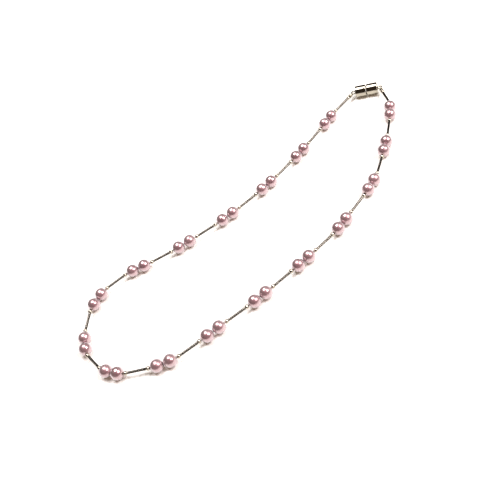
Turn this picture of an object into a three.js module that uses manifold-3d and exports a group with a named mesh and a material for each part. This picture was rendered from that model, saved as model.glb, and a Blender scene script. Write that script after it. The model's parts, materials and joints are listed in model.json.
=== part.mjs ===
// A strung necklace, lying closed on a table: pairs of round pearls between slim metal bars,
// on one beading wire, closed at the back by a magnetic barrel clasp.
// Millimetres, +Z up. The strand lies around the origin, which is at table height.
import * as THREE from 'three';
import * as BufferGeometryUtils from 'three/addons/utils/BufferGeometryUtils.js';
import Module from 'manifold-3d';

// ---- driving dimensions ----
const PEARL_D = 6;
const PEARL_BORE_D = 1;
const PAIRS = 17;

const BEAD_D = 2; // the round metal bead at each end of a bar
const BEAD_SPACING = 10.4; // between the two bead centres of one bar
const TUBE_D = 1.25;
const BAR_BORE_D = 0.9;

const WIRE_D = 0.4;
const PIECE_GAP = 0.2; // play between two neighbours on the wire

const CLASP_D = 6; // across the flats of the faceted barrel
const CLASP_HALF_LENGTH = 5.4;
const CLASP_GAP = 0.45; // between the two halves, at the seam
const CLASP_EDGE = 0.6; // chamfer round the seam edge
const CLASP_RIM = 0.25; // chamfer round the outer end
const POCKET_D = 4.6;
const POCKET_DEPTH = 2.8;
const MAGNET_D = 4;
const MAGNET_LENGTH = 2.3;
const MAGNET_RECESS = 0.15; // from the seam face back to the magnet
const EYE_R = 1.05; // centre line of the eye ring
const EYE_WIRE_R = 0.35;
const EYE_SINK = 0.25; // how far the eye ring is let into the end of the barrel

const CRIMP_D = 2;
const CRIMP_BORE_D = 1.5;
const CRIMP_LENGTH = 1.3;
const CRIMP_EDGE = 0.3;
const LOOP_R = 0.8; // the wire's turn round the eye ring
const STRAND_OFFSET = 0.33; // from the crimp's axis to each of the two strands in it

// ---- facets ----
const PEARL_SIDES = 12;
const PEARL_BANDS = 8;
const BAR_SIDES = 8;
const BEAD_BANDS = 4;
const CLASP_SIDES = 24;
const EYE_SIDES = 14;
const EYE_SECTION_SIDES = 8;
const CRIMP_SIDES = 12;
const WIRE_SIDES = 8;
const LOOP_STEPS = 8;

// ---- the strand's route round the neck loop, seen from above, hand-laid [x, y] ----
const ROUTE = [
  [-20, 88.5], [-19, 73], [-17, 61], [-14.5, 42.5], [-13.5, 18], [-16, -6.5], [-22, -30.5],
  [-28, -47.5], [-33.5, -58.5], [-35.5, -71], [-32, -82.5], [-23.5, -91.5], [-13, -97.5],
  [-0.5, -97.5], [10.5, -92], [18.5, -82.5], [24.5, -72], [28, -53.5], [32.5, -29.5], [35, -5],
  [36, 13.5], [34.5, 25.5], [32.5, 38], [29.5, 49.5], [23.5, 60.5], [17.5, 71], [10.5, 81],
  [2.5, 90.5], [-10, 97.5],
];

// ---- derived sizes ----
const halfChord = (radius, boreRadius) => Math.sqrt(radius ** 2 - boreRadius ** 2);
const PEARL_LENGTH = 2 * halfChord(PEARL_D / 2, PEARL_BORE_D / 2);
const BEAD_HALF = halfChord(BEAD_D / 2, BAR_BORE_D / 2);
const BEAD_SHOULDER = halfChord(BEAD_D / 2, TUBE_D / 2); // where the tube meets the bead
const BAR_LENGTH = BEAD_SPACING + 2 * BEAD_HALF;
const PLAIN_BAR_LENGTH = BEAD_SPACING - BEAD_SHOULDER + BEAD_HALF; // no bead at its start
const EYE_CENTRE = EYE_R + EYE_WIRE_R - EYE_SINK; // from the barrel's end to the ring's centre
const LOOP_CENTRE = EYE_R; // from the ring's centre to the middle of the wire's turn
const CRIMP_START = LOOP_CENTRE + LOOP_R + PIECE_GAP;
const LEAD_LENGTH = CRIMP_START + CRIMP_LENGTH + PIECE_GAP; // ring's centre to the first bead
const CLASP_SPAN = 2 * (EYE_CENTRE + CLASP_HALF_LENGTH) + CLASP_GAP;
const STRAND_HEIGHT = PEARL_D / 2; // the pearls rest on the table

const MATERIALS = {
  pearl: new THREE.MeshStandardMaterial({ color: 0xd9a7b4, roughness: 0.22, metalness: 0.1 }),
  silver: new THREE.MeshStandardMaterial({ color: 0xb9b6ad, roughness: 0.3, metalness: 1 }),
  chrome: new THREE.MeshStandardMaterial({ color: 0xd6d7da, roughness: 0.1, metalness: 1 }),
  magnet: new THREE.MeshStandardMaterial({ color: 0x8f9196, roughness: 0.4, metalness: 0.9 }),
  wire: new THREE.MeshStandardMaterial({ color: 0x8d8b86, roughness: 0.35, metalness: 1 }),
};

const wasm = await Module();
wasm.setup();

const necklace = new THREE.Group();
necklace.name = 'pearl_necklace';

// ---- small helpers ----

function addMesh(parent, name, geometry, material) {
  const mesh = new THREE.Mesh(geometry, material);
  mesh.name = name;
  parent.add(mesh);
  return mesh;
}

/** Points along an arc of a circle whose centre is on the lathe's axis at height `middle`. */
function arcPoints(radius, middle, fromHeight, toHeight, bands) {
  const start = Math.asin(fromHeight / radius);
  const end = Math.asin(toHeight / radius);
  return Array.from({ length: bands + 1 }, (_, band) => {
    const angle = start + ((end - start) * band) / bands;
    return new THREE.Vector2(radius * Math.cos(angle), middle + radius * Math.sin(angle));
  });
}

/** A turned body whose axis is the local Y axis; the profile closes on itself. */
function turned(profile, sides, startAngle = 0) {
  return new THREE.LatheGeometry([...profile, profile[0].clone()], sides, startAngle);
}

function toSolid(geometry) {
  const bare = geometry.clone();
  bare.deleteAttribute('normal');
  bare.deleteAttribute('uv');
  const merged = BufferGeometryUtils.mergeVertices(bare, 1e-5);
  return new wasm.Manifold(new wasm.Mesh({
    numProp: 3,
    vertProperties: new Float32Array(merged.attributes.position.array),
    triVerts: new Uint32Array(merged.index.array),
  }));
}

function toGeometry(solid) {
  const mesh = solid.getMesh();
  const geometry = new THREE.BufferGeometry();
  geometry.setAttribute('position', new THREE.BufferAttribute(mesh.vertProperties, 3));
  geometry.setIndex(new THREE.BufferAttribute(mesh.triVerts, 1));
  geometry.computeVertexNormals();
  return geometry;
}

// ---- the pieces, each turned about its local Y axis ----

function pearlGeometry() {
  const reach = PEARL_LENGTH / 2;
  return turned(arcPoints(PEARL_D / 2, 0, -reach, reach, PEARL_BANDS), PEARL_SIDES);
}

/** A slim tube with a round bead at each end, on one bore; a plain start has no bead. */
function barGeometry(plainStart) {
  const beadR = BEAD_D / 2;
  const start = plainStart
    ? [new THREE.Vector2(BAR_BORE_D / 2, 0), new THREE.Vector2(TUBE_D / 2, 0)]
    : arcPoints(beadR, BEAD_HALF, -BEAD_HALF, BEAD_SHOULDER, BEAD_BANDS);
  const lastBead = (plainStart ? PLAIN_BAR_LENGTH : BAR_LENGTH) - BEAD_HALF;
  return turned([
    ...start,
    ...arcPoints(beadR, lastBead, -BEAD_SHOULDER, BEAD_HALF, BEAD_BANDS),
  ], BAR_SIDES);
}

function crimpGeometry() {
  const half = CRIMP_LENGTH / 2;
  const boreR = CRIMP_BORE_D / 2;
  const outerR = CRIMP_D / 2;
  return turned([
    new THREE.Vector2(boreR, -half),
    new THREE.Vector2(outerR - CRIMP_EDGE / 2, -half),
    new THREE.Vector2(outerR, -half + CRIMP_EDGE),
    new THREE.Vector2(outerR, half - CRIMP_EDGE),
    new THREE.Vector2(outerR - CRIMP_EDGE / 2, half),
    new THREE.Vector2(boreR, half),
  ], CRIMP_SIDES);
}

/** One half of the clasp's barrel. The ring's centre is the local origin; the seam is at +Y. */
function barrelGeometry() {
  const facetAngle = Math.PI / CLASP_SIDES;
  const acrossCorners = 1 / Math.cos(facetAngle);
  const outerR = (CLASP_D / 2) * acrossCorners;
  const end = EYE_CENTRE;
  const seam = EYE_CENTRE + CLASP_HALF_LENGTH;
  const barrel = turned([
    new THREE.Vector2(0, end),
    new THREE.Vector2(outerR - CLASP_RIM, end),
    new THREE.Vector2(outerR, end + CLASP_RIM),
    new THREE.Vector2(outerR, seam - CLASP_EDGE),
    new THREE.Vector2(outerR - CLASP_EDGE, seam),
    new THREE.Vector2(POCKET_D / 2, seam),
    new THREE.Vector2(POCKET_D / 2, seam - POCKET_DEPTH),
    new THREE.Vector2(0, seam - POCKET_DEPTH),
  ], CLASP_SIDES, facetAngle);
  const eye = new THREE.TorusGeometry(EYE_R, EYE_WIRE_R, EYE_SECTION_SIDES, EYE_SIDES);
  return toGeometry(toSolid(barrel).add(toSolid(eye)));
}

function magnetGeometry() {
  const start = EYE_CENTRE + CLASP_HALF_LENGTH - MAGNET_RECESS - MAGNET_LENGTH;
  const disc = new THREE.CylinderGeometry(MAGNET_D / 2, MAGNET_D / 2, MAGNET_LENGTH, CLASP_SIDES);
  return disc.translate(0, start + MAGNET_LENGTH / 2, 0);
}

// ---- laying the strand: every piece is a chord of the route ----

const CHORDS = [
  { kind: 'clasp', length: CLASP_SPAN },
  ...Array.from({ length: PAIRS + 1 }, (_, index) => {
    const atClasp = index === 0 || index === PAIRS;
    const barLength = index === PAIRS ? PLAIN_BAR_LENGTH : BAR_LENGTH;
    const play = atClasp ? LEAD_LENGTH + PIECE_GAP / 2 : PIECE_GAP;
    const bar = { kind: 'bar', number: index + 1, length: barLength + play };
    const pearls = [1, 2].map((side) => (
      { kind: 'pearl', number: 2 * index + side, length: PEARL_LENGTH + PIECE_GAP }
    ));
    return index < PAIRS ? [bar, ...pearls] : [bar];
  }).flat(),
];

/** The curve's parameter one chord further on, by small steps and then by halving. */
function oneChordOn(curve, from, length) {
  const start = curve.getPoint(from % 1);
  const reach = (t) => curve.getPoint(t % 1).distanceTo(start);
  const STEP = 0.001;
  let high = from + STEP;
  while (reach(high) < length) high += STEP;
  let low = high - STEP;
  for (let round = 0; round < 40; round += 1) {
    const middle = (low + high) / 2;
    if (reach(middle) < length) low = middle;
    else high = middle;
  }
  return high;
}

/** Walks all the chords round a route of the given scale, from the clasp's far eye. */
function walk(scale) {
  const points = ROUTE.map(([x, y]) => new THREE.Vector3(x * scale, y * scale, STRAND_HEIGHT));
  const curve = new THREE.CatmullRomCurve3(points, true, 'centripetal');
  let at = (ROUTE.length - 1) / ROUTE.length;
  const stops = [at];
  for (const chord of CHORDS) {
    at = oneChordOn(curve, at, chord.length);
    stops.push(at);
  }
  const overrun = at - stops[0] - 1;
  return { overrun, joints: stops.map((t) => curve.getPoint(t % 1)) };
}

/** The strand has a fixed length, so the route is scaled until the last chord closes it. */
function layStrand() {
  let small = 0.9;
  let large = 1.1;
  for (let round = 0; round < 40; round += 1) {
    const middle = (small + large) / 2;
    if (walk(middle).overrun > 0) small = middle;
    else large = middle;
  }
  return walk(large).joints;
}

const joints = layStrand();

/** A group whose +Y runs from one point to another, with +Z up. */
function frameAlong(from, to) {
  const along = to.clone().sub(from).normalize();
  const up = new THREE.Vector3(0, 0, 1);
  const across = along.clone().cross(up);
  const group = new THREE.Group();
  group.quaternion.setFromRotationMatrix(new THREE.Matrix4().makeBasis(across, along, up));
  group.position.copy(from);
  necklace.add(group);
  return group;
}

const twoDigits = (number) => String(number).padStart(2, '0');

function addPearl(from, to, number) {
  const frame = frameAlong(from, to);
  const mesh = addMesh(frame, `pearl_${twoDigits(number)}`, pearlGeometry(), MATERIALS.pearl);
  mesh.position.y = from.distanceTo(to) / 2;
}

/** A bar between two pearls, or beside the clasp, where the crimp takes up the lead. */
function addBar(from, to, number) {
  const frame = frameAlong(from, to);
  const geometry = barGeometry(number === PAIRS + 1);
  const mesh = addMesh(frame, `spacer_bar_${twoDigits(number)}`, geometry, MATERIALS.silver);
  mesh.position.y = number === 1 ? LEAD_LENGTH : PIECE_GAP / 2;
}

/** The crimp, on the stretch from the eye ring's centre to the last bar's far end. */
function addCrimp(eye, far, side) {
  const frame = frameAlong(eye, far);
  const mesh = addMesh(frame, `crimp_${side}`, crimpGeometry(), MATERIALS.silver);
  mesh.position.y = CRIMP_START + CRIMP_LENGTH / 2;
}

function addClaspHalf(eye, otherEye, side) {
  const frame = frameAlong(eye, otherEye);
  addMesh(frame, `clasp_barrel_${side}`, barrelGeometry(), MATERIALS.chrome);
  addMesh(frame, `clasp_magnet_${side}`, magnetGeometry(), MATERIALS.magnet);
}

/** The wire's end, from a bar's bead through the crimp, round the eye ring and back. */
function wireEnd(eye, far) {
  const along = far.clone().sub(eye).normalize();
  const up = new THREE.Vector3(0, 0, 1);
  const at = (distance, height) => eye.clone()
    .addScaledVector(along, distance).addScaledVector(up, height);
  const crimpEnd = CRIMP_START + CRIMP_LENGTH;
  const inset = WIRE_D / 2;
  const turn = Array.from({ length: LOOP_STEPS + 1 }, (_, step) => {
    const angle = Math.PI / 3 + (step / LOOP_STEPS) * (4 * Math.PI) / 3;
    return at(LOOP_CENTRE + LOOP_R * Math.cos(angle), LOOP_R * Math.sin(angle));
  });
  return [
    far,
    at(LEAD_LENGTH, STRAND_OFFSET / 3),
    at(crimpEnd, STRAND_OFFSET / 2),
    at(CRIMP_START, STRAND_OFFSET),
    ...turn,
    at(CRIMP_START, -STRAND_OFFSET),
    at(crimpEnd - inset, -STRAND_OFFSET),
  ];
}

/** A path of straight stretches: its parameter counts stretches, so no corner is cut. */
class StraightStretches extends THREE.Curve {
  constructor(points) {
    super();
    this.points = points;
  }

  getPoint(t, target = new THREE.Vector3()) {
    const place = t * (this.points.length - 1);
    const index = Math.min(Math.floor(place + 1e-9), this.points.length - 2);
    return target.lerpVectors(this.points[index], this.points[index + 1], place - index);
  }

  getPointAt(u, target) {
    return this.getPoint(u, target);
  }

  getTangentAt(u, target = new THREE.Vector3()) {
    const last = this.points.length - 1;
    const index = Math.round(u * last);
    const before = this.points[Math.max(index - 1, 0)];
    const after = this.points[Math.min(index + 1, last)];
    return target.subVectors(after, before).normalize();
  }
}

function addWire(points) {
  const section = new THREE.Shape(Array.from({ length: WIRE_SIDES }, (_, side) => {
    const angle = (2 * Math.PI * side) / WIRE_SIDES;
    return new THREE.Vector2((WIRE_D / 2) * Math.cos(angle), (WIRE_D / 2) * Math.sin(angle));
  }));
  const geometry = new THREE.ExtrudeGeometry(section, {
    steps: points.length - 1,
    extrudePath: new StraightStretches(points),
    bevelEnabled: false,
  });
  addMesh(necklace, 'stringing_wire', geometry, MATERIALS.wire);
}

// ---- assembly ----

const [rightEye, leftEye] = joints;
addClaspHalf(leftEye, rightEye, 'left');
addClaspHalf(rightEye, leftEye, 'right');
CHORDS.forEach((chord, index) => {
  const [from, to] = [joints[index], joints[index + 1]];
  if (chord.kind === 'pearl') addPearl(from, to, chord.number);
  if (chord.kind === 'bar') addBar(from, to, chord.number);
});

const strung = joints.slice(1);
const firstFar = strung[1];
const lastFar = strung[strung.length - 2];
addCrimp(leftEye, firstFar, 'left');
addCrimp(rightEye, lastFar, 'right');
addWire([
  ...wireEnd(leftEye, firstFar).reverse(),
  ...strung.slice(2, -2),
  ...wireEnd(rightEye, lastFar),
]);

// the origin goes to the middle of the loop's box, at table height
const box = new THREE.Box3().setFromObject(necklace, true);
necklace.position.set(-(box.min.x + box.max.x) / 2, -(box.min.y + box.max.y) / 2, 0);

export default necklace;
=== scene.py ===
"""A closed strand of round pearls and slim fluted bars, with a magnetic barrel clasp.

Every piece is modelled once in its own short frame, with Z along the strand, and is then laid
on the body that carries it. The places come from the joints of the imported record.
"""

import json
import logging
import math
from collections import defaultdict
from contextlib import contextmanager
from dataclasses import dataclass, field
from enum import Enum
from typing import Callable, Iterator

import bmesh
import bpy
from mathutils import Matrix, Vector

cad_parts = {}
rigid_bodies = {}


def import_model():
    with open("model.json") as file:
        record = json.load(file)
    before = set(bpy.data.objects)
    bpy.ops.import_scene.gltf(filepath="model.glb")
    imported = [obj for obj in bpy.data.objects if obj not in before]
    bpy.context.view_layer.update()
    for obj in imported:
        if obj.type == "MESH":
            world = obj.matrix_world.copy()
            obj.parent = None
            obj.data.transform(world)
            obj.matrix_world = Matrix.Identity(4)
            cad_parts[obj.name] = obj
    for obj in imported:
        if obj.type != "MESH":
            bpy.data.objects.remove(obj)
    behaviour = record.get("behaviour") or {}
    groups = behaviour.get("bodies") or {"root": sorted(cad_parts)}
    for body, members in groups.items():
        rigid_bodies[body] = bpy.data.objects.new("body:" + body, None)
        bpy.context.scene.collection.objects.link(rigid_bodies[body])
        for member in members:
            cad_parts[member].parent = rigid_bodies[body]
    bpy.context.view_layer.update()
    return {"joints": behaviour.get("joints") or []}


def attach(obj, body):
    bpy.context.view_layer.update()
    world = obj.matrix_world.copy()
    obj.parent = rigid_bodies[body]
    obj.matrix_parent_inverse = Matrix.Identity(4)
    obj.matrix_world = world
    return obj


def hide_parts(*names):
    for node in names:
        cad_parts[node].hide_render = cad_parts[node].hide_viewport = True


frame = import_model()

LOG = logging.getLogger("pearl_necklace")
MM = 0.001
UP = Vector((0.0, 0.0, 1.0))
ORIGIN = (0.0, 0.0, 0.0)
TINY = 1e-7
SLACK = 0.005 * MM
FULL_TURN = 2 * math.pi
SHARP = math.radians(60)

Colour = tuple[float, float, float]


class Kind(Enum):
    """The kinds of element that a selection is made of."""

    VERTS = "VERT"
    EDGES = "EDGE"
    FACES = "FACE"


class Side(Enum):
    """The two ends of the strand, each with its half of the clasp."""

    LEFT = "left"
    RIGHT = "right"


# ---------------------------------------------------------------- modelling by hand


@contextmanager
def editing(piece: bpy.types.Object) -> Iterator[None]:
    """Opens one piece in edit mode and closes it again.

    Args:
        piece: The mesh object to edit.
    """
    bpy.ops.object.select_all(action="DESELECT")
    piece.select_set(True)
    bpy.context.view_layer.objects.active = piece
    bpy.ops.object.mode_set(mode="EDIT")
    yield
    bpy.ops.object.mode_set(mode="OBJECT")


def pick(piece: bpy.types.Object, kind: Kind, test: Callable[..., bool]) -> None:
    """Selects, in edit mode, the elements that pass a test and nothing else.

    Args:
        piece: The object that is open in edit mode.
        kind: Whether corners, edges or faces are tested.
        test: Says of one bmesh element whether it is wanted.
    """
    bpy.ops.mesh.select_mode(type=kind.value)
    bpy.ops.mesh.select_all(action="DESELECT")
    mesh = bmesh.from_edit_mesh(piece.data)
    elements = {Kind.VERTS: mesh.verts, Kind.EDGES: mesh.edges, Kind.FACES: mesh.faces}[kind]
    for element in elements:
        if test(element):
            element.select_set(True)
    mesh.select_flush_mode()
    bmesh.update_edit_mesh(piece.data)


def at_height(height: float) -> Callable[..., bool]:
    """A test for edges or faces that lie wholly at one height."""
    return lambda element: all(abs(v.co.z - height) < SLACK for v in element.verts)


def ring_at(height: float) -> Callable[..., bool]:
    """A test for corners that lie at one height."""
    return lambda corner: abs(corner.co.z - height) < SLACK


def squeeze(piece: bpy.types.Object, height: float, across: float, along: float) -> None:
    """Shrinks, in edit mode, the ring of corners at one height towards the Z axis.

    Args:
        piece: The object that is open in edit mode.
        height: Where the ring lies.
        across: The share of its width that the ring keeps along X.
        along: The share of its width that the ring keeps along Y.
    """
    pick(piece, Kind.VERTS, ring_at(height))
    bpy.ops.transform.resize(value=(across, along, 1), center_override=ORIGIN)


def close_up(piece: bpy.types.Object) -> None:
    """Merges doubled corners and turns every face outwards."""
    with editing(piece):
        bpy.ops.mesh.select_all(action="SELECT")
        bpy.ops.mesh.remove_doubles(threshold=TINY)
        bpy.ops.mesh.normals_make_consistent(inside=False)


def smooth(piece: bpy.types.Object, crease_angle: float = 38.0) -> None:
    """Shades a piece smooth, with edges sharper than an angle in degrees kept crisp."""
    bpy.ops.object.select_all(action="DESELECT")
    piece.select_set(True)
    bpy.context.view_layer.objects.active = piece
    bpy.ops.object.shade_smooth_by_angle(angle=math.radians(crease_angle))


def finish_with(piece: bpy.types.Object, kind: str, **settings: object) -> None:
    """Adds one modifier to a piece and applies it.

    Args:
        piece: The mesh object.
        kind: The modifier's type.
        settings: The modifier's own values.
    """
    bpy.ops.object.select_all(action="DESELECT")
    piece.select_set(True)
    bpy.context.view_layer.objects.active = piece
    modifier = piece.modifiers.new(kind.title(), kind)
    for name, value in settings.items():
        setattr(modifier, name, value)
    bpy.ops.object.modifier_apply(modifier=modifier.name)


def start_piece(name: str, add: Callable[..., set], **sizes: object) -> bpy.types.Object:
    """Adds the primitive that a piece starts from.

    Args:
        name: The new object's name.
        add: The operator that adds the primitive.
        sizes: The primitive's own values.

    Returns:
        The new object.
    """
    bpy.ops.object.select_all(action="DESELECT")
    add(**sizes)
    piece = bpy.context.object
    bpy.ops.object.transform_apply(location=True, rotation=True, scale=True)
    piece.name = name
    return piece


def copy_to(master: bpy.types.Object, name: str, place: Matrix) -> bpy.types.Object:
    """Copies a finished piece, with a mesh of its own, to its place on the strand.

    Args:
        master: The piece as modelled, at the origin.
        name: The copy's name.
        place: Where the copy's mesh goes.

    Returns:
        The copy, whose object stays at the origin.
    """
    piece = bpy.data.objects.new(name, master.data.copy())
    piece.data.name = name
    piece.data.transform(place)
    bpy.context.scene.collection.objects.link(piece)
    return piece


# ---------------------------------------------------------------- where things lie


@dataclass(frozen=True)
class Span:
    """One straight stretch of the strand, between two places where the wire can bend."""

    body: str
    start: Vector
    end: Vector

    @property
    def length(self) -> float:
        """The stretch's length."""
        return (self.end - self.start).length

    def place(self, distance: float = 0.0) -> Matrix:
        """The frame at a distance from the start, with Z along the strand and Y up."""
        along = (self.end - self.start).normalized()
        axes = Matrix((UP.cross(along), UP, along)).transposed().to_4x4()
        return Matrix.Translation(self.start + along * distance) @ axes

    def reversed(self) -> "Span":
        """The same stretch, walked the other way."""
        return Span(self.body, self.end, self.start)


class StrandLayout:
    """The order of the bodies on the wire, and the places where they meet."""

    def __init__(self, joints: list[dict]) -> None:
        """Reads the meeting places.

        Args:
            joints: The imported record's joints, one between each two neighbours.
        """
        self.meetings: dict[frozenset[str], Vector] = {}
        self.neighbours: dict[str, list[str]] = defaultdict(list)
        for joint in joints:
            pair = (joint["parent"], joint["child"])
            self.meetings[frozenset(pair)] = Vector(joint["pos_m"])
            self.neighbours[pair[0]].append(pair[1])
            self.neighbours[pair[1]].append(pair[0])
        self.order = self._walk("clasp_half_left")

    def _walk(self, first: str) -> list[str]:
        """Lists the bodies in their order on the wire, from one end."""
        order = [first]
        while True:
            onward = [body for body in self.neighbours[order[-1]] if body not in order[-2:]]
            if not onward:
                return order
            order.append(onward[0])

    def meeting(self, one: str, other: str) -> Vector:
        """The place where two neighbours meet."""
        return self.meetings[frozenset((one, other))]

    def span(self, body: str) -> Span:
        """The stretch of a body that has a neighbour on both sides."""
        index = self.order.index(body)
        before, after = self.order[index - 1], self.order[index + 1]
        return Span(body, self.meeting(before, body), self.meeting(body, after))

    def bodies(self, kind: str) -> list[str]:
        """The bodies of one kind, in order, such as "pearl" or "spacer_bar"."""
        return [body for body in self.order if body.startswith(kind)]

    def lead(self, side: Side) -> Span:
        """The last bar's stretch, walked from the clasp's eye on one side."""
        bars = self.bodies("spacer_bar")
        return self.span(bars[0]) if side is Side.LEFT else self.span(bars[-1]).reversed()

    def clasp(self, side: Side) -> Span:
        """The stretch from one clasp half's eye to the other half's eye."""
        other = Side.RIGHT if side is Side.LEFT else Side.LEFT
        return Span(f"clasp_half_{side.value}", self.lead(side).start, self.lead(other).start)


# ---------------------------------------------------------------- finishes


class NodeSheet:
    """A node tree with short ways to add and join nodes."""

    def __init__(self, tree: bpy.types.NodeTree) -> None:
        """Keeps the tree that is worked on."""
        self.tree = tree

    def add(self, kind: str, **settings: object) -> bpy.types.Node:
        """Adds a node and sets its own properties."""
        node = self.tree.nodes.new(kind)
        for name, value in settings.items():
            setattr(node, name, value)
        return node

    def join(self, source: bpy.types.NodeSocket, target: bpy.types.NodeSocket) -> None:
        """Links an output to an input."""
        self.tree.links.new(source, target)

    def mix(self, mask: bpy.types.NodeSocket, low: Colour, high: Colour) -> bpy.types.NodeSocket:
        """Mixes two colours by a mask.

        Args:
            mask: Where the second colour shows.
            low: The colour where the mask is 0.
            high: The colour where the mask is 1.

        Returns:
            The mixed colour.
        """
        node = self.add("ShaderNodeMix", data_type="RGBA")
        self.join(mask, node.inputs["Factor"])
        node.inputs["A"].default_value = (*low, 1.0)
        node.inputs["B"].default_value = (*high, 1.0)
        return node.outputs["Result"]

    def spread(self, mask: bpy.types.NodeSocket, low: float, high: float) -> bpy.types.NodeSocket:
        """Turns a mask into a value between two limits."""
        node = self.add("ShaderNodeMapRange")
        self.join(mask, node.inputs["Value"])
        node.inputs["To Min"].default_value = low
        node.inputs["To Max"].default_value = high
        return node.outputs["Result"]


def new_group(name: str, values: dict[str, float], outputs: list[str]) -> NodeSheet:
    """Starts a shader node group with named float inputs and outputs.

    Args:
        name: The group's name.
        values: The inputs, each with its usual value.
        outputs: The names of the outputs.

    Returns:
        A sheet over the group's tree, with its input and output nodes added.
    """
    tree = bpy.data.node_groups.new(name, "ShaderNodeTree")
    for label, value in values.items():
        socket = tree.interface.new_socket(label, in_out="INPUT", socket_type="NodeSocketFloat")
        socket.default_value = value
    for label in outputs:
        tree.interface.new_socket(label, in_out="OUTPUT", socket_type="NodeSocketFloat")
    tree.nodes.new("NodeGroupInput")
    tree.nodes.new("NodeGroupOutput")
    return NodeSheet(tree)


def mottle_group() -> bpy.types.NodeTree:
    """Soft clouds over a surface, such as the drift of colour in nacre or a film on metal.

    Returns:
        A group with Scale, Low and High inputs and a Mask output.
    """
    sheet = new_group("soft_mottle", {"Scale": 300.0, "Low": 0.35, "High": 0.65}, ["Mask"])
    given = sheet.tree.nodes["Group Input"]
    place = sheet.add("ShaderNodeTexCoord")
    noise = sheet.add("ShaderNodeTexNoise")
    noise.inputs["Detail"].default_value = 3.0
    noise.inputs["Roughness"].default_value = 0.55
    limits = sheet.add("ShaderNodeMapRange", interpolation_type="SMOOTHSTEP")
    sheet.join(place.outputs["Object"], noise.inputs["Vector"])
    sheet.join(given.outputs["Scale"], noise.inputs["Scale"])
    sheet.join(noise.outputs["Fac"], limits.inputs["Value"])
    sheet.join(given.outputs["Low"], limits.inputs["From Min"])
    sheet.join(given.outputs["High"], limits.inputs["From Max"])
    sheet.join(limits.outputs["Result"], sheet.tree.nodes["Group Output"].inputs["Mask"])
    return sheet.tree


def grain_group() -> bpy.types.NodeTree:
    """Fine surface grain: polishing hairlines and tiny pits.

    Returns:
        A group with Scale and Pits inputs and a Height output.
    """
    sheet = new_group("fine_grain", {"Scale": 4000.0, "Pits": 0.3}, ["Height"])
    given = sheet.tree.nodes["Group Input"]
    place = sheet.add("ShaderNodeTexCoord")
    noise = sheet.add("ShaderNodeTexNoise")
    noise.inputs["Detail"].default_value = 2.0
    cells = sheet.add("ShaderNodeTexVoronoi")
    share = sheet.add("ShaderNodeMix", data_type="FLOAT")
    for texture in (noise, cells):
        sheet.join(place.outputs["Object"], texture.inputs["Vector"])
        sheet.join(given.outputs["Scale"], texture.inputs["Scale"])
    sheet.join(given.outputs["Pits"], share.inputs["Factor"])
    sheet.join(noise.outputs["Fac"], share.inputs["A"])
    sheet.join(cells.outputs["Distance"], share.inputs["B"])
    sheet.join(share.outputs["Result"], sheet.tree.nodes["Group Output"].inputs["Height"])
    return sheet.tree


@dataclass(frozen=True)
class SharedEffects:
    """The node groups that several finishes use."""

    mottle: bpy.types.NodeTree
    grain: bpy.types.NodeTree


@dataclass(frozen=True)
class Finish:
    """What every finish has: two close colours, a range of roughness and a fine grain."""

    name: str
    slot: str
    colour: Colour
    drift: Colour
    roughness: tuple[float, float]
    metallic: float = 1.0
    mottle_scale: float = 300.0
    grain_scale: float = 5000.0
    grain_depth: float = 0.002 * MM
    grain_strength: float = 0.5

    def material(self, effects: SharedEffects) -> bpy.types.Material:
        """Makes the material.

        Args:
            effects: The shared node groups.

        Returns:
            The finished material.
        """
        material = bpy.data.materials.new(self.name)
        material.use_nodes = True
        sheet = NodeSheet(material.node_tree)
        shader = material.node_tree.nodes["Principled BSDF"]
        shader.inputs["Metallic"].default_value = self.metallic
        mottle = sheet.add("ShaderNodeGroup", node_tree=effects.mottle)
        mottle.inputs["Scale"].default_value = self.mottle_scale
        mask = mottle.outputs["Mask"]
        sheet.join(self.colouring(sheet, mask), shader.inputs["Base Color"])
        sheet.join(sheet.spread(mask, *self.roughness), shader.inputs["Roughness"])
        grain = sheet.add("ShaderNodeGroup", node_tree=effects.grain)
        grain.inputs["Scale"].default_value = self.grain_scale
        bump = sheet.add("ShaderNodeBump")
        bump.inputs["Strength"].default_value = self.grain_strength
        bump.inputs["Distance"].default_value = self.grain_depth
        sheet.join(grain.outputs["Height"], bump.inputs["Height"])
        sheet.join(bump.outputs["Normal"], shader.inputs["Normal"])
        self.gloss(shader)
        return material

    def colouring(self, sheet: NodeSheet, mask: bpy.types.NodeSocket) -> bpy.types.NodeSocket:
        """The surface colour, as it drifts over the piece."""
        return sheet.mix(mask, self.colour, self.drift)

    def gloss(self, shader: bpy.types.Node) -> None:
        """Sets what lies over the surface; a bare metal has nothing."""


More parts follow.
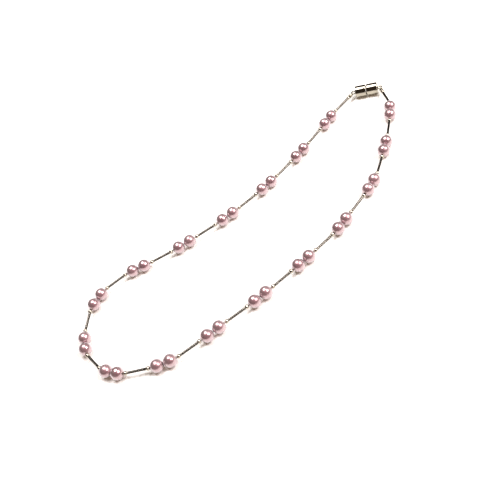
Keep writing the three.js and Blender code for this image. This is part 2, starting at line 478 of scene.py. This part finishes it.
@dataclass(frozen=True)
class Nacre(Finish):
    """Pink pearl nacre: a satin body with a painted pale rim at grazing angles, a painted
    reflection, under a clear skin.
    """

    # rim is the painted pale rim colour, a painted reflection at grazing angles; the blend sets how
    # far in it reaches.
    rim: Colour = (0.46, 0.41, 0.40)
    painted_rim_blend: float = 0.65
    sheen_tint: Colour = (0.88, 0.76, 1.0)
    sheen_level: float = 0.75
    bloom: float = 0.25
    bloom_roughness: float = 0.35
    coat: float = 1.0
    coat_roughness: float = 0.08
    coat_ior: float = 2.0

    def colouring(self, sheet: NodeSheet, mask: bpy.types.NodeSocket) -> bpy.types.NodeSocket:
        """The body colour, turning by viewing angle to the painted pale rim colour, a painted
        reflection at grazing angles.
        """
        body = super().colouring(sheet, mask)
        # Painted reflection: the Facing weight lightens the colour towards the rim, whatever lies
        # around the pearl.
        facing = sheet.add("ShaderNodeLayerWeight")
        facing.inputs["Blend"].default_value = self.painted_rim_blend
        painted_rim_reflection = sheet.add("ShaderNodeMix", data_type="RGBA")
        sheet.join(facing.outputs["Facing"], painted_rim_reflection.inputs["Factor"])
        sheet.join(body, painted_rim_reflection.inputs["A"])
        painted_rim_reflection.inputs["B"].default_value = (*self.rim, 1.0)
        return painted_rim_reflection.outputs["Result"]

    def gloss(self, shader: bpy.types.Node) -> None:
        """Adds the lavender sheen and edge bloom, and lays the clear skin over them."""
        shader.inputs["Specular IOR Level"].default_value = self.sheen_level
        shader.inputs["Specular Tint"].default_value = (*self.sheen_tint, 1.0)
        shader.inputs["Sheen Weight"].default_value = self.bloom
        shader.inputs["Sheen Roughness"].default_value = self.bloom_roughness
        shader.inputs["Sheen Tint"].default_value = (*self.sheen_tint, 1.0)
        shader.inputs["Coat Weight"].default_value = self.coat
        shader.inputs["Coat Roughness"].default_value = self.coat_roughness
        shader.inputs["Coat IOR"].default_value = self.coat_ior


@dataclass(frozen=True)
class FlutedSilver(Finish):
    """Silver that has darkened in the grooves of its flutes."""

    tarnish: Colour = (0.07, 0.06, 0.055)

    def colouring(self, sheet: NodeSheet, mask: bpy.types.NodeSocket) -> bpy.types.NodeSocket:
        """The metal's colour on the crests, and tarnish down in the grooves."""
        metal = super().colouring(sheet, mask)
        groove = sheet.add("ShaderNodeAttribute", attribute_name=FlutedTube.GROOVE)
        darkened = sheet.add("ShaderNodeMix", data_type="RGBA")
        sheet.join(groove.outputs["Fac"], darkened.inputs["Factor"])
        sheet.join(metal, darkened.inputs["A"])
        darkened.inputs["B"].default_value = (*self.tarnish, 1.0)
        return darkened.outputs["Result"]


class Finishes:
    """All the necklace's finishes, each made once."""

    NACRE = Nacre(
        "pink_nacre", "pearl", (0.42, 0.222, 0.248), (0.47, 0.262, 0.285), (0.29, 0.37),
        metallic=0.6, mottle_scale=170.0, grain_scale=2600.0, grain_depth=0.003 * MM,
    )
    FLUTES = FlutedSilver(
        "fluted_silver", "bar_silver", (0.21, 0.195, 0.17), (0.15, 0.14, 0.12), (0.14, 0.26),
    )
    BEADS = Finish(
        "polished_bead_silver", "bar_silver", (0.52, 0.48, 0.41), (0.44, 0.40, 0.33), (0.08, 0.18),
    )
    CHROME = Finish(
        "bright_chrome", "clasp_chrome", (0.38, 0.355, 0.29), (0.34, 0.315, 0.26), (0.04, 0.10),
        mottle_scale=220.0, grain_depth=0.0006 * MM,
    )
    SOLDER = Finish(
        "soft_solder", "clasp_chrome", (0.36, 0.35, 0.32), (0.28, 0.27, 0.24), (0.25, 0.42),
        grain_scale=2600.0, grain_depth=0.01 * MM,
    )
    NICKEL = Finish(
        "magnet_nickel_plate", "magnet_nickel", (0.62, 0.59, 0.53), (0.52, 0.50, 0.45), (0.2, 0.34),
    )
    GLUE = Finish(
        "magnet_glue", "magnet_nickel", (0.10, 0.07, 0.04), (0.16, 0.11, 0.06), (0.25, 0.45),
        metallic=0.0, grain_depth=0.01 * MM,
    )
    CRIMP = Finish(
        "crimp_silver_plate", "crimp_silver", (0.48, 0.44, 0.36), (0.36, 0.33, 0.27), (0.14, 0.3),
        grain_scale=3200.0, grain_depth=0.006 * MM,
    )
    WIRE = Finish(
        "beading_wire_steel", "beading_wire", (0.36, 0.34, 0.31), (0.26, 0.25, 0.23), (0.24, 0.4),
    )

    def __init__(self) -> None:
        """Makes the node groups that the finishes share."""
        self.effects = SharedEffects(mottle_group(), grain_group())
        self.made: dict[str, bpy.types.Material] = {}

    def dress(self, piece: bpy.types.Object, finish: Finish) -> None:
        """Gives a piece the material of its finish, made the first time it is used."""
        if finish.name not in self.made:
            self.made[finish.name] = finish.material(self.effects)
        piece.data.materials.clear()
        piece.data.materials.append(self.made[finish.name])


# ---------------------------------------------------------------- the pieces


@dataclass(frozen=True)
class DrilledBall:
    """A round ball with a straight bore, such as a pearl or a metal bead."""

    diameter: float
    bore: float
    segments: int
    rings: int
    rim: float

    @property
    def half(self) -> float:
        """From the ball's centre to the flat where the bore comes out."""
        return math.sqrt((self.diameter / 2) ** 2 - (self.bore / 2) ** 2)

    def build(self, name: str) -> bpy.types.Object:
        """Models the ball round the origin, drilled along Z.

        Args:
            name: The object's name.

        Returns:
            The ball.
        """
        ball = start_piece(
            name, bpy.ops.mesh.primitive_uv_sphere_add,
            segments=self.segments, ring_count=self.rings, radius=self.diameter / 2,
        )
        with editing(ball):
            for way in (1, -1):
                bpy.ops.mesh.select_all(action="SELECT")
                bpy.ops.mesh.bisect(
                    plane_co=(0, 0, way * self.half), plane_no=(0, 0, way),
                    clear_outer=True, threshold=TINY,
                )
            pick(ball, Kind.EDGES, lambda edge: edge.is_boundary)
            bpy.ops.mesh.bridge_edge_loops()
            mouths = (at_height(self.half), at_height(-self.half))
            pick(ball, Kind.EDGES, lambda edge: any(mouth(edge) for mouth in mouths))
            bpy.ops.mesh.bevel(offset=self.rim, segments=2, affect="EDGES")
        close_up(ball)
        smooth(ball)
        return ball


@dataclass(frozen=True)
class FlutedTube:
    """A slim tube whose flutes wind along it, with plain rims at both ends."""

    GROOVE = "groove"

    length: float
    diameter: float = 1.25 * MM
    wall: float = 0.16 * MM
    flutes: int = 6
    depth: float = 0.08 * MM
    flanks: float = 0.45
    turns: float = 1.5
    rings: int = 30
    rim: float = 0.35 * MM

    def build(self, name: str) -> bpy.types.Object:
        """Models the tube round the origin, along Z.

        Args:
            name: The object's name.

        Returns:
            The tube.
        """
        sides = 4 * self.flutes
        tube = start_piece(
            name, bpy.ops.mesh.primitive_cylinder_add,
            vertices=sides, radius=self.diameter / 2, depth=self.length, end_fill_type="NOTHING",
        )
        with editing(tube):
            pick(tube, Kind.EDGES, self._runs_along)
            bpy.ops.mesh.subdivide(number_cuts=self.rings - 1)
            for step, share in ((1, self.flanks), (2, 1.0), (3, self.flanks)):
                pick(tube, Kind.VERTS, lambda v: self._in_flute(v, sides, step))
                inwards = 1 - share * self.depth / (self.diameter / 2)
                bpy.ops.transform.resize(value=(inwards, inwards, 1), center_override=ORIGIN)
        self._mark_grooves(tube)
        finish_with(
            tube, "SIMPLE_DEFORM", deform_method="TWIST", deform_axis="Z",
            angle=self.turns * FULL_TURN,
        )
        finish_with(tube, "SOLIDIFY", thickness=self.wall, offset=-1.0)
        smooth(tube, crease_angle=50.0)
        return tube

    def _runs_along(self, edge: bmesh.types.BMEdge) -> bool:
        """Whether an edge runs from one end of the tube to the other."""
        low, high = (v.co.z for v in edge.verts)
        return abs(low - high) > self.length / 2

    def _in_flute(self, corner: bmesh.types.BMVert, sides: int, step: int) -> bool:
        """Whether a corner is one of the four steps of a flute, away from the plain rims."""
        index = round(math.atan2(corner.co.y, corner.co.x) / FULL_TURN * sides)
        return index % 4 == step and abs(corner.co.z) < self.length / 2 - self.rim

    def _mark_grooves(self, tube: bpy.types.Object) -> None:
        """Keeps, for every corner, how deep in a groove it lies, from 0 to 1."""
        grooves = tube.data.attributes.new(self.GROOVE, "FLOAT", "POINT")
        for corner, mark in zip(tube.data.vertices, grooves.data):
            sunk = self.diameter / 2 - corner.co.xy.length
            mark.value = min(max(sunk / self.depth, 0.0), 1.0)


@dataclass(frozen=True)
class CrimpTube:
    """A short soft tube, squeezed flat in the middle over two strands of wire."""

    length: float = 1.3 * MM
    diameter: float = 2.0 * MM
    wall: float = 0.24 * MM
    sides: int = 32
    rings: int = 10
    pinch: float = 0.34
    rim: float = 0.05 * MM

    def build(self, name: str) -> bpy.types.Object:
        """Models the crimp round the origin, along Z, squeezed across X.

        Args:
            name: The object's name.

        Returns:
            The crimp.
        """
        tube = start_piece(
            name, bpy.ops.mesh.primitive_cylinder_add,
            vertices=self.sides, radius=self.diameter / 2, depth=self.length,
            end_fill_type="NOTHING",
        )
        with editing(tube):
            pick(tube, Kind.EDGES, lambda edge: edge.verts[0].co.z * edge.verts[1].co.z < 0)
            bpy.ops.mesh.subdivide(number_cuts=self.rings - 1)
            for ring in range(1, self.rings):
                height = (ring / self.rings - 0.5) * self.length
                pressed = 1 - self.pinch * math.sin(math.pi * ring / self.rings) ** 2
                squeeze(tube, height, pressed, 1)
        finish_with(tube, "SOLIDIFY", thickness=self.wall, offset=-1.0)
        finish_with(
            tube, "BEVEL", width=self.rim, segments=2, limit_method="ANGLE",
            angle_limit=SHARP,
        )
        smooth(tube)
        return tube


@dataclass(frozen=True)
class BeadingCable:
    """Steel beading wire: fine filaments laid round a core, with rounded ends."""

    diameter: float = 0.4 * MM
    filaments: int = 6
    lay: float = 2.6 * MM
    groove: float = 0.16
    step: float = 0.36 * MM
    end_steps: tuple[float, ...] = (0.99, 0.8, 0.45)

    def build(self, name: str, path: list[Vector]) -> bpy.types.Object:
        """Sweeps the cable's section along a path.

        Args:
            name: The object's name.
            path: The points that the middle of the wire passes through.

        Returns:
            The cable, as a mesh.
        """
        section = self._section()
        points = self._even_steps(path)
        radius = self.diameter / 2
        ahead = (points[1] - points[0]).normalized() * radius
        behind = (points[-1] - points[-2]).normalized() * radius
        start = [(points[0] - ahead * s, math.sqrt(1 - s * s)) for s in self.end_steps]
        end = [(points[-1] + behind * s, math.sqrt(1 - s * s)) for s in self.end_steps]
        stations = start + [(point, 1.0) for point in points] + end[::-1]
        curve = bpy.data.curves.new(name, "CURVE")
        curve.dimensions = "3D"
        curve.bevel_mode = "OBJECT"
        curve.bevel_object = section
        curve.use_fill_caps = True
        spline = curve.splines.new("POLY")
        spline.points.add(len(stations) - 1)
        travelled, before = 0.0, stations[0][0]
        for station, (point, share) in zip(spline.points, stations):
            travelled += (point - before).length
            before = point
            station.co = (*point, 1.0)
            station.radius = share
            station.tilt = travelled / self.lay * FULL_TURN
        cable = bpy.data.objects.new(name, curve)
        bpy.context.scene.collection.objects.link(cable)
        bpy.ops.object.select_all(action="DESELECT")
        cable.select_set(True)
        bpy.context.view_layer.objects.active = cable
        bpy.ops.object.convert(target="MESH")
        bpy.data.objects.remove(section)
        cable = bpy.context.object
        close_up(cable)
        smooth(cable, crease_angle=60.0)
        return cable

    def _section(self) -> bpy.types.Object:
        """The cable's lobed section, two corners for each filament."""
        outline = bpy.data.curves.new("cable_section", "CURVE")
        outline.dimensions = "2D"
        spline = outline.splines.new("POLY")
        corners = 2 * self.filaments
        spline.points.add(corners - 1)
        for index, corner in enumerate(spline.points):
            radius = self.diameter / 2 * (1 - self.groove * (index % 2))
            angle = FULL_TURN * index / corners
            corner.co = (radius * math.cos(angle), radius * math.sin(angle), 0.0, 1.0)
        spline.use_cyclic_u = True
        section = bpy.data.objects.new("cable_section", outline)
        bpy.context.scene.collection.objects.link(section)
        return section

    def _even_steps(self, path: list[Vector]) -> list[Vector]:
        """The same path with points no further apart than one step."""
        points = [path[0]]
        for start, end in zip(path, path[1:]):
            cuts = max(1, math.ceil((end - start).length / self.step))
            points += [start.lerp(end, cut / cuts) for cut in range(1, cuts + 1)]
        return points


# ---------------------------------------------------------------- the sub-assemblies


class SubAssembly:
    """A part of the necklace that models its pieces and lays them on their bodies."""

    def __init__(self, layout: StrandLayout, finishes: Finishes) -> None:
        """Keeps the layout and the finishes, and starts with no piece."""
        self.layout = layout
        self.finishes = finishes
        self.pieces: list[bpy.types.Object] = []

    def lay(self, piece: bpy.types.Object, body: str, finish: Finish, *nodes: str) -> None:
        """Dresses one piece and ties it to its body.

        Args:
            piece: The finished mesh, in its place.
            body: The body that carries it.
            finish: The piece's finish.
            nodes: The CAD nodes that it stands for.
        """
        self.finishes.dress(piece, finish)
        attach(piece, body)
        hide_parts(*nodes)
        self.pieces.append(piece)


class Pearls(SubAssembly):
    """All the pearls of the strand."""

    BALL = DrilledBall(diameter=6 * MM, bore=1.0 * MM, segments=56, rings=28, rim=0.06 * MM)

    def build(self) -> None:
        """Models one pearl and lays a copy on each pearl's body."""
        master = self.BALL.build("pearl_master")
        for body in self.layout.bodies("pearl"):
            span = self.layout.span(body)
            number = body.removeprefix("pearl_")
            pearl = copy_to(master, f"round_pearl_{number}", span.place(span.length / 2))
            self.lay(pearl, body, Finishes.NACRE, body)
        bpy.data.objects.remove(master)


@dataclass
class Bars(SubAssembly):
    """The spacer bars: a fluted tube between two round beads, all free on the wire."""

    layout: StrandLayout
    finishes: Finishes
    bead: DrilledBall = DrilledBall(2 * MM, 0.9 * MM, segments=28, rings=16, rim=0.03 * MM)
    bead_spacing: float = 10.4 * MM
    lead: float = 3.55 * MM
    play: float = 0.1 * MM
    seat: float = 0.02 * MM
    pieces: list[bpy.types.Object] = field(default_factory=list)

    def build(self) -> None:
        """Models the bead and the two lengths of tube, and lays every bar."""
        bead = self.bead.build("bead_master")
        between = self.bead_spacing - 2 * self.bead.half - 2 * self.seat
        tube = FlutedTube(between).build("tube_master")
        shoulder = math.sqrt((self.bead.diameter / 2) ** 2 - (FlutedTube.diameter / 2) ** 2)
        plain_length = self.bead_spacing - shoulder - self.bead.half - self.seat
        plain = FlutedTube(plain_length).build("plain_tube_master")
        bodies = self.layout.bodies("spacer_bar")
        for body in bodies[:-1]:
            lead = self.lead if body == bodies[0] else self.play
            self._lay_bar(body, bead, tube, lead)
        self._lay_plain_bar(bodies[-1], bead, plain, shoulder)
        for master in (bead, tube, plain):
            bpy.data.objects.remove(master)

    def _lay_bar(
        self, body: str, bead: bpy.types.Object, tube: bpy.types.Object, lead: float
    ) -> None:
        """Lays one bar with a bead at both ends.

        Args:
            body: The bar's body.
            bead: The bead to copy.
            tube: The tube to copy.
            lead: From the start of the stretch to the first bead's flat.
        """
        span = self.layout.span(body)
        number = body.removeprefix("spacer_bar_")
        first = lead + self.bead.half
        for letter, distance in (("a", first), ("b", first + self.bead_spacing)):
            piece = copy_to(bead, f"bar_bead_{number}_{letter}", span.place(distance))
            self.lay(piece, body, Finishes.BEADS, body)
        middle = span.place(first + self.bead_spacing / 2)
        self.lay(copy_to(tube, f"bar_tube_{number}", middle), body, Finishes.FLUTES, body)

    def _lay_plain_bar(
        self, body: str, bead: bpy.types.Object, tube: bpy.types.Object, shoulder: float
    ) -> None:
        """Lays the last bar, which meets its pearl without a bead."""
        span = self.layout.span(body)
        number = body.removeprefix("spacer_bar_")
        bead_at = self.play + self.bead_spacing - shoulder
        piece = copy_to(bead, f"bar_bead_{number}_b", span.place(bead_at))
        self.lay(piece, body, Finishes.BEADS, body)
        end = bead_at - self.bead.half - self.seat
        middle = span.place((self.play + end) / 2)
        self.lay(copy_to(tube, f"bar_tube_{number}", middle), body, Finishes.FLUTES, body)


@dataclass
class Wire(SubAssembly):
    """The beading wire, in one stretch for each body, with a crimped loop at both ends."""

    layout: StrandLayout
    finishes: Finishes
    cable: BeadingCable = BeadingCable()
    crimp: CrimpTube = CrimpTube()
    crimp_start: float = 2.05 * MM
    lead: float = Bars.lead
    loop_centre: float = 1.05 * MM
    loop_radius: float = 0.8 * MM
    loop_steps: int = 24
    loop_opening: float = FULL_TURN / 3
    strand_offset: float = 0.33 * MM
    tail: float = 0.2 * MM
    pieces: list[bpy.types.Object] = field(default_factory=list)

    NODE = "stringing_wire"

    def build(self) -> None:
        """Lays the straight stretches, and then the two looped ends with their crimps."""
        bars = self.layout.bodies("spacer_bar")
        for body in self.layout.order[1:-1]:
            if body in (bars[0], bars[-1]):
                continue
            span = self.layout.span(body)
            stretch = self.cable.build(f"wire_{body}", [span.start, span.end])
            self.lay(stretch, body, Finishes.WIRE, self.NODE)
        crimp = self.crimp.build("crimp_master")
        for side in Side:
            span = self.layout.lead(side)
            loop = self.cable.build(f"wire_loop_{side.value}", self._end_route(span))
            self.lay(loop, span.body, Finishes.WIRE, self.NODE)
            middle = span.place(self.crimp_start + self.crimp.length / 2)
            piece = copy_to(crimp, f"crimp_tube_{side.value}", middle)
            self.lay(piece, span.body, Finishes.CRIMP, f"crimp_{side.value}")
        bpy.data.objects.remove(crimp)

    def _end_route(self, span: Span) -> list[Vector]:
        """The wire's way from a bar's far end, through the crimp, round the eye and back.

        Args:
            span: The last bar's stretch, walked from the clasp's eye.

        Returns:
            The points of the route.
        """
        place = span.place()

        def at(distance: float, height: float) -> Vector:
            """A point above or below the strand's middle line."""
            return place @ Vector((0.0, height, distance))

        crimp_end = self.crimp_start + self.crimp.length
        turn = []
        for step in range(self.loop_steps + 1):
            sweep = FULL_TURN - self.loop_opening
            angle = self.loop_opening / 2 + step / self.loop_steps * sweep
            reach = self.loop_centre + self.loop_radius * math.cos(angle)
            turn.append(at(reach, self.loop_radius * math.sin(angle)))
        return [
            at(span.length, 0.0),
            at(self.lead, self.strand_offset / 3),
            at(crimp_end, self.strand_offset / 2),
            at(self.crimp_start, self.strand_offset),
            *turn,
            at(self.crimp_start, -self.strand_offset),
            at(crimp_end - self.tail, -self.strand_offset),
        ]


@dataclass
class Clasp(SubAssembly):
    """The magnetic barrel clasp: two bright shells, each with an eye ring and a magnet."""

    layout: StrandLayout
    finishes: Finishes
    diameter: float = 6 * MM
    end: float = 1.15 * MM
    length: float = 5.4 * MM
    sides: int = 72
    pocket: float = 4.6 * MM
    pocket_depth: float = 2.8 * MM
    shoulder: float = 0.4 * MM
    seam_edge: float = 0.3 * MM
    boss: float = 2.6 * MM
    boss_height: float = 0.16 * MM
    magnet: float = 4.0 * MM
    magnet_length: float = 2.3 * MM
    magnet_recess: float = 0.15 * MM
    eye_radius: float = 1.05 * MM
    eye_wire: float = 0.35 * MM
    eye_foot: float = 1.2
    edge_round: float = 0.05 * MM
    solder_tip: float = 0.42 * MM
    solder_foot: float = 0.95 * MM
    solder_height: float = 0.4 * MM
    solder_sunk: float = 0.08 * MM
    solder_waist: tuple[float, ...] = (0.93, 0.88, 0.87, 0.9)
    magnet_edge: float = 0.12 * MM
    magnet_rim: float = 0.5 * MM
    magnet_step: float = 0.1 * MM
    magnet_dish: float = 0.05 * MM
    glue_below: float = 0.25 * MM
    glue_clear: float = 0.01 * MM
    glue_edge: float = 0.06 * MM
    pieces: list[bpy.types.Object] = field(default_factory=list)

    @property
    def seam(self) -> float:
        """From the eye ring's centre to the seam face."""
        return self.end + self.length

    def build(self) -> None:
        """Models one half and lays it at both sides of the seam."""
        shell = self._shell()
        eye = self._eye()
        solder = self._solder()
        magnet = self._magnet()
        glue = self._glue()
        for side in Side:
            span = self.layout.clasp(side)
            barrel = f"clasp_barrel_{side.value}"
            disc = f"clasp_magnet_{side.value}"
            for master, title, finish, node in (
                (shell, "clasp_shell", Finishes.CHROME, barrel),
                (eye, "clasp_eye", Finishes.CHROME, barrel),
                (solder, "clasp_solder", Finishes.SOLDER, barrel),
                (magnet, "magnet_disc", Finishes.NICKEL, disc),
                (glue, "magnet_glue", Finishes.GLUE, disc),
            ):
                piece = copy_to(master, f"{title}_{side.value}", span.place())
                self.lay(piece, span.body, finish, node)
        for master in (shell, eye, solder, magnet, glue):
            bpy.data.objects.remove(master)

    def _shell(self) -> bpy.types.Object:
        """One half's barrel: a domed shoulder at the eye, and a magnet pocket at the seam."""
        shell = start_piece(
            "shell_master", bpy.ops.mesh.primitive_cylinder_add,
            vertices=self.sides, radius=self.diameter / 2, depth=self.length,
            location=(0, 0, self.end + self.length / 2), end_fill_type="NGON",
        )
        with editing(shell):
            pick(shell, Kind.FACES, at_height(self.seam))
            bpy.ops.mesh.inset(thickness=(self.diameter - self.pocket) / 2)
            down = {"value": (0, 0, -self.pocket_depth)}
            bpy.ops.mesh.extrude_region_move(TRANSFORM_OT_translate=down)
            pick(shell, Kind.FACES, at_height(self.end))
            bpy.ops.mesh.inset(thickness=(self.diameter - self.boss) / 2)
            out = {"value": (0, 0, -self.boss_height)}
            bpy.ops.mesh.extrude_region_move(TRANSFORM_OT_translate=out)
            for height, inner, width, steps in (
                (self.end, self.boss / 2, self.shoulder, 5),
                (self.seam, self.pocket / 2, self.seam_edge, 4),
            ):
                flat = at_height(height)
                pick(
                    shell, Kind.EDGES,
                    lambda e: flat(e) and all(v.co.xy.length > inner + SLACK for v in e.verts),
                )
                bpy.ops.mesh.bevel(offset=width, segments=steps, affect="EDGES")
            mouth, lip = at_height(self.seam), at_height(self.end - self.boss_height)
            pick(
                shell, Kind.EDGES,
                lambda e: lip(e) or (mouth(e) and e.verts[0].co.xy.length < self.pocket / 2 + TINY),
            )
            bpy.ops.mesh.bevel(offset=self.edge_round, segments=2, affect="EDGES")
        close_up(shell)
        smooth(shell)
        return shell

    def _eye(self) -> bpy.types.Object:
        """The eye: round wire spun into a ring that lies flat."""
        ring = start_piece(
            "eye_master", bpy.ops.mesh.primitive_circle_add,
            vertices=20, radius=self.eye_wire, location=(self.eye_radius, 0, 0),
        )
        with editing(ring):
            bpy.ops.mesh.select_all(action="SELECT")
            bpy.ops.transform.rotate(
                value=math.pi / 2, orient_axis="Z", center_override=(self.eye_radius, 0, 0)
            )
            bpy.ops.mesh.spin(
                steps=56, angle=FULL_TURN, center=ORIGIN, axis=(0, 1, 0), use_normal_flip=False
            )
            pick(ring, Kind.VERTS, lambda v: v.co.z > self.eye_radius + 0.4 * self.eye_wire)
            bpy.ops.transform.resize(value=(self.eye_foot, 1, 1), center_override=ORIGIN)
        close_up(ring)
        smooth(ring)
        return ring

    def _solder(self) -> bpy.types.Object:
        """The solder that flows from the barrel's end up to the ring."""
        foot = self.end - self.boss_height + self.solder_sunk
        tip = foot - self.solder_height
        fillet = start_piece(
            "solder_master", bpy.ops.mesh.primitive_cone_add,
            vertices=32, radius1=self.solder_tip, radius2=self.solder_foot,
            depth=self.solder_height, location=(0, 0, (tip + foot) / 2),
        )
        rings = len(self.solder_waist)
        with editing(fillet):
            pick(fillet, Kind.EDGES, lambda e: abs(e.verts[0].co.z - e.verts[1].co.z) > SLACK)
            bpy.ops.mesh.subdivide(number_cuts=rings)
            for ring, waist in enumerate(self.solder_waist, start=1):
                height = tip + ring / (rings + 1) * self.solder_height
                squeeze(fillet, height, waist, waist)
        close_up(fillet)
        smooth(fillet)
        return fillet

    def _magnet(self) -> bpy.types.Object:
        """The magnet: a plated disc with rounded edges and a shallow turned ring."""
        top = self.seam - self.magnet_recess
        disc = start_piece(
            "magnet_master", bpy.ops.mesh.primitive_cylinder_add,
            vertices=56, radius=self.magnet / 2, depth=self.magnet_length,
            location=(0, 0, top - self.magnet_length / 2), end_fill_type="NGON",
        )
        with editing(disc):
            ends = (at_height(top), at_height(top - self.magnet_length))
            pick(disc, Kind.EDGES, lambda e: any(end(e) for end in ends))
            bpy.ops.mesh.bevel(offset=self.magnet_edge, segments=3, affect="EDGES")
            pick(disc, Kind.FACES, lambda f: at_height(top)(f) and len(f.verts) > 4)
            bpy.ops.mesh.inset(thickness=self.magnet_rim)
            bpy.ops.mesh.inset(thickness=self.magnet_step)
            bpy.ops.transform.translate(value=(0, 0, -self.magnet_dish))
        close_up(disc)
        smooth(disc)
        return disc

    def _glue(self) -> bpy.types.Object:
        """The ring of glue between the magnet and the pocket's wall."""
        top = self.seam - self.magnet_recess - self.glue_below
        floor = self.seam - self.pocket_depth + 2 * self.glue_clear
        outer = self.pocket / 2 - self.glue_clear
        thickness = outer - self.magnet / 2 - self.glue_clear
        ring = start_piece(
            "glue_master", bpy.ops.mesh.primitive_cylinder_add,
            vertices=48, radius=outer, depth=top - floor,
            location=(0, 0, (top + floor) / 2), end_fill_type="NOTHING",
        )
        finish_with(ring, "SOLIDIFY", thickness=thickness, offset=-1.0)
        finish_with(
            ring, "BEVEL", width=self.glue_edge, segments=2, limit_method="ANGLE",
            angle_limit=SHARP,
        )
        smooth(ring)
        return ring


# ---------------------------------------------------------------- the studio


@dataclass(frozen=True)
class Softbox:
    """A large round lamp that faces the necklace from a fixed direction."""

    name: str
    direction: tuple[float, float, float]
    distance: float
    width_degrees: float
    radiance: float
    tint: Colour = (1.0, 1.0, 1.0)

    def build(self) -> None:
        """Hangs the lamp and turns it to the middle of the table."""
        size = 2 * self.distance * math.tan(math.radians(self.width_degrees / 2))
        lamp = bpy.data.lights.new(self.name, "AREA")
        lamp.shape = "DISK"
        lamp.size = size
        lamp.energy = self.radiance * math.pi * math.pi * (size / 2) ** 2
        lamp.color = self.tint
        hung = bpy.data.objects.new(self.name, lamp)
        towards = Vector(self.direction).normalized()
        hung.location = towards * self.distance
        hung.rotation_euler = towards.to_track_quat("Z", "Y").to_euler()
        bpy.context.scene.collection.objects.link(hung)


@dataclass(frozen=True)
class Studio:
    """A white table in a dim room, with two softboxes and the camera."""

    target: tuple[float, float, float] = (8.994 * MM, -14.310 * MM, 3 * MM)
    distance: float = 303.1 * MM
    elevation: float = 46.63
    azimuth: float = -21.15
    roll: float = -27.88
    lens: float = 48.34
    sensor: float = 36.0
    nearest: float = 5 * MM
    room: Colour = (0.065, 0.046, 0.036)
    backdrop: Colour = (1.0, 1.0, 1.0)
    table_size: float = 1.5
    table_colour: Colour = (0.93, 0.93, 0.93)
    table_drift: Colour = (0.95, 0.945, 0.94)
    table_mottle_scale: float = 40.0
    table_roughness: float = 0.7
    table_gloss: float = 0.2
    glow: Colour = (0.10, 0.072, 0.046)
    lamps: tuple[Softbox, ...] = (
        Softbox("window_above", (-0.25, 0.08, 0.96), 1.3, 35.0, 10.8, (1.0, 0.97, 0.955)),
        Softbox("window_right", (0.47, 0.50, 0.73), 1.3, 30.0, 17.6, (1.0, 0.95, 0.93)),
    )

    def build(self) -> None:
        """Sets up the camera, the room, the lamps and the table."""
        bpy.context.scene.view_settings.view_transform = "Standard"
        self._camera()
        self._room()
        for lamp in self.lamps:
            lamp.build()
        self._table()

    def _camera(self) -> None:
        """Places the camera and makes it the scene's."""
        height, turn = math.radians(self.elevation), math.radians(self.azimuth)
        back = Vector((
            math.cos(height) * math.cos(turn), math.cos(height) * math.sin(turn), math.sin(height),
        ))
        lens = bpy.data.cameras.new("camera")
        lens.lens = self.lens
        lens.sensor_width = self.sensor
        lens.clip_start = self.nearest
        camera = bpy.data.objects.new("camera", lens)
        rolled = Matrix.Rotation(math.radians(self.roll), 4, "Z")
        facing = back.to_track_quat("Z", "Y").to_matrix().to_4x4()
        camera.matrix_world = (
            Matrix.Translation(Vector(self.target) + back * self.distance) @ facing @ rolled
        )
        bpy.context.scene.collection.objects.link(camera)
        bpy.context.scene.camera = camera

    def _room(self) -> None:
        """A dim room for the reflections, in front of a pale backdrop."""
        world = bpy.data.worlds.new("room")
        bpy.context.scene.world = world
        world.use_nodes = True
        sheet = NodeSheet(world.node_tree)
        seen = sheet.add("ShaderNodeLightPath")
        light = sheet.mix(seen.outputs["Is Camera Ray"], self.room, self.backdrop)
        sheet.join(light, world.node_tree.nodes["Background"].inputs["Color"])

    def _table(self) -> None:
        """The white table that the strand lies on, which glows faintly."""
        table = start_piece(
            "table", bpy.ops.mesh.primitive_plane_add, size=self.table_size, location=ORIGIN
        )
        material = bpy.data.materials.new("white_table")
        material.use_nodes = True
        sheet = NodeSheet(material.node_tree)
        shader = material.node_tree.nodes["Principled BSDF"]
        noise = sheet.add("ShaderNodeTexNoise")
        noise.inputs["Scale"].default_value = self.table_mottle_scale
        sheet.join(
            sheet.mix(noise.outputs["Fac"], self.table_colour, self.table_drift),
            shader.inputs["Base Color"],
        )
        shader.inputs["Roughness"].default_value = self.table_roughness
        shader.inputs["Specular IOR Level"].default_value = self.table_gloss
        shader.inputs["Emission Color"].default_value = (*self.glow, 1.0)
        shader.inputs["Emission Strength"].default_value = 1.0
        table.data.materials.append(material)


def main() -> None:
    """Builds the studio and then the necklace, one sub-assembly after another."""
    logging.basicConfig(level=logging.INFO, format="%(name)s: %(message)s")
    Studio().build()
    layout = StrandLayout(frame["joints"])
    finishes = Finishes()
    for assembly in (
        Pearls(layout, finishes), Bars(layout, finishes),
        Wire(layout, finishes), Clasp(layout, finishes),
    ):
        assembly.build()


if __name__ == "__main__":
    main()
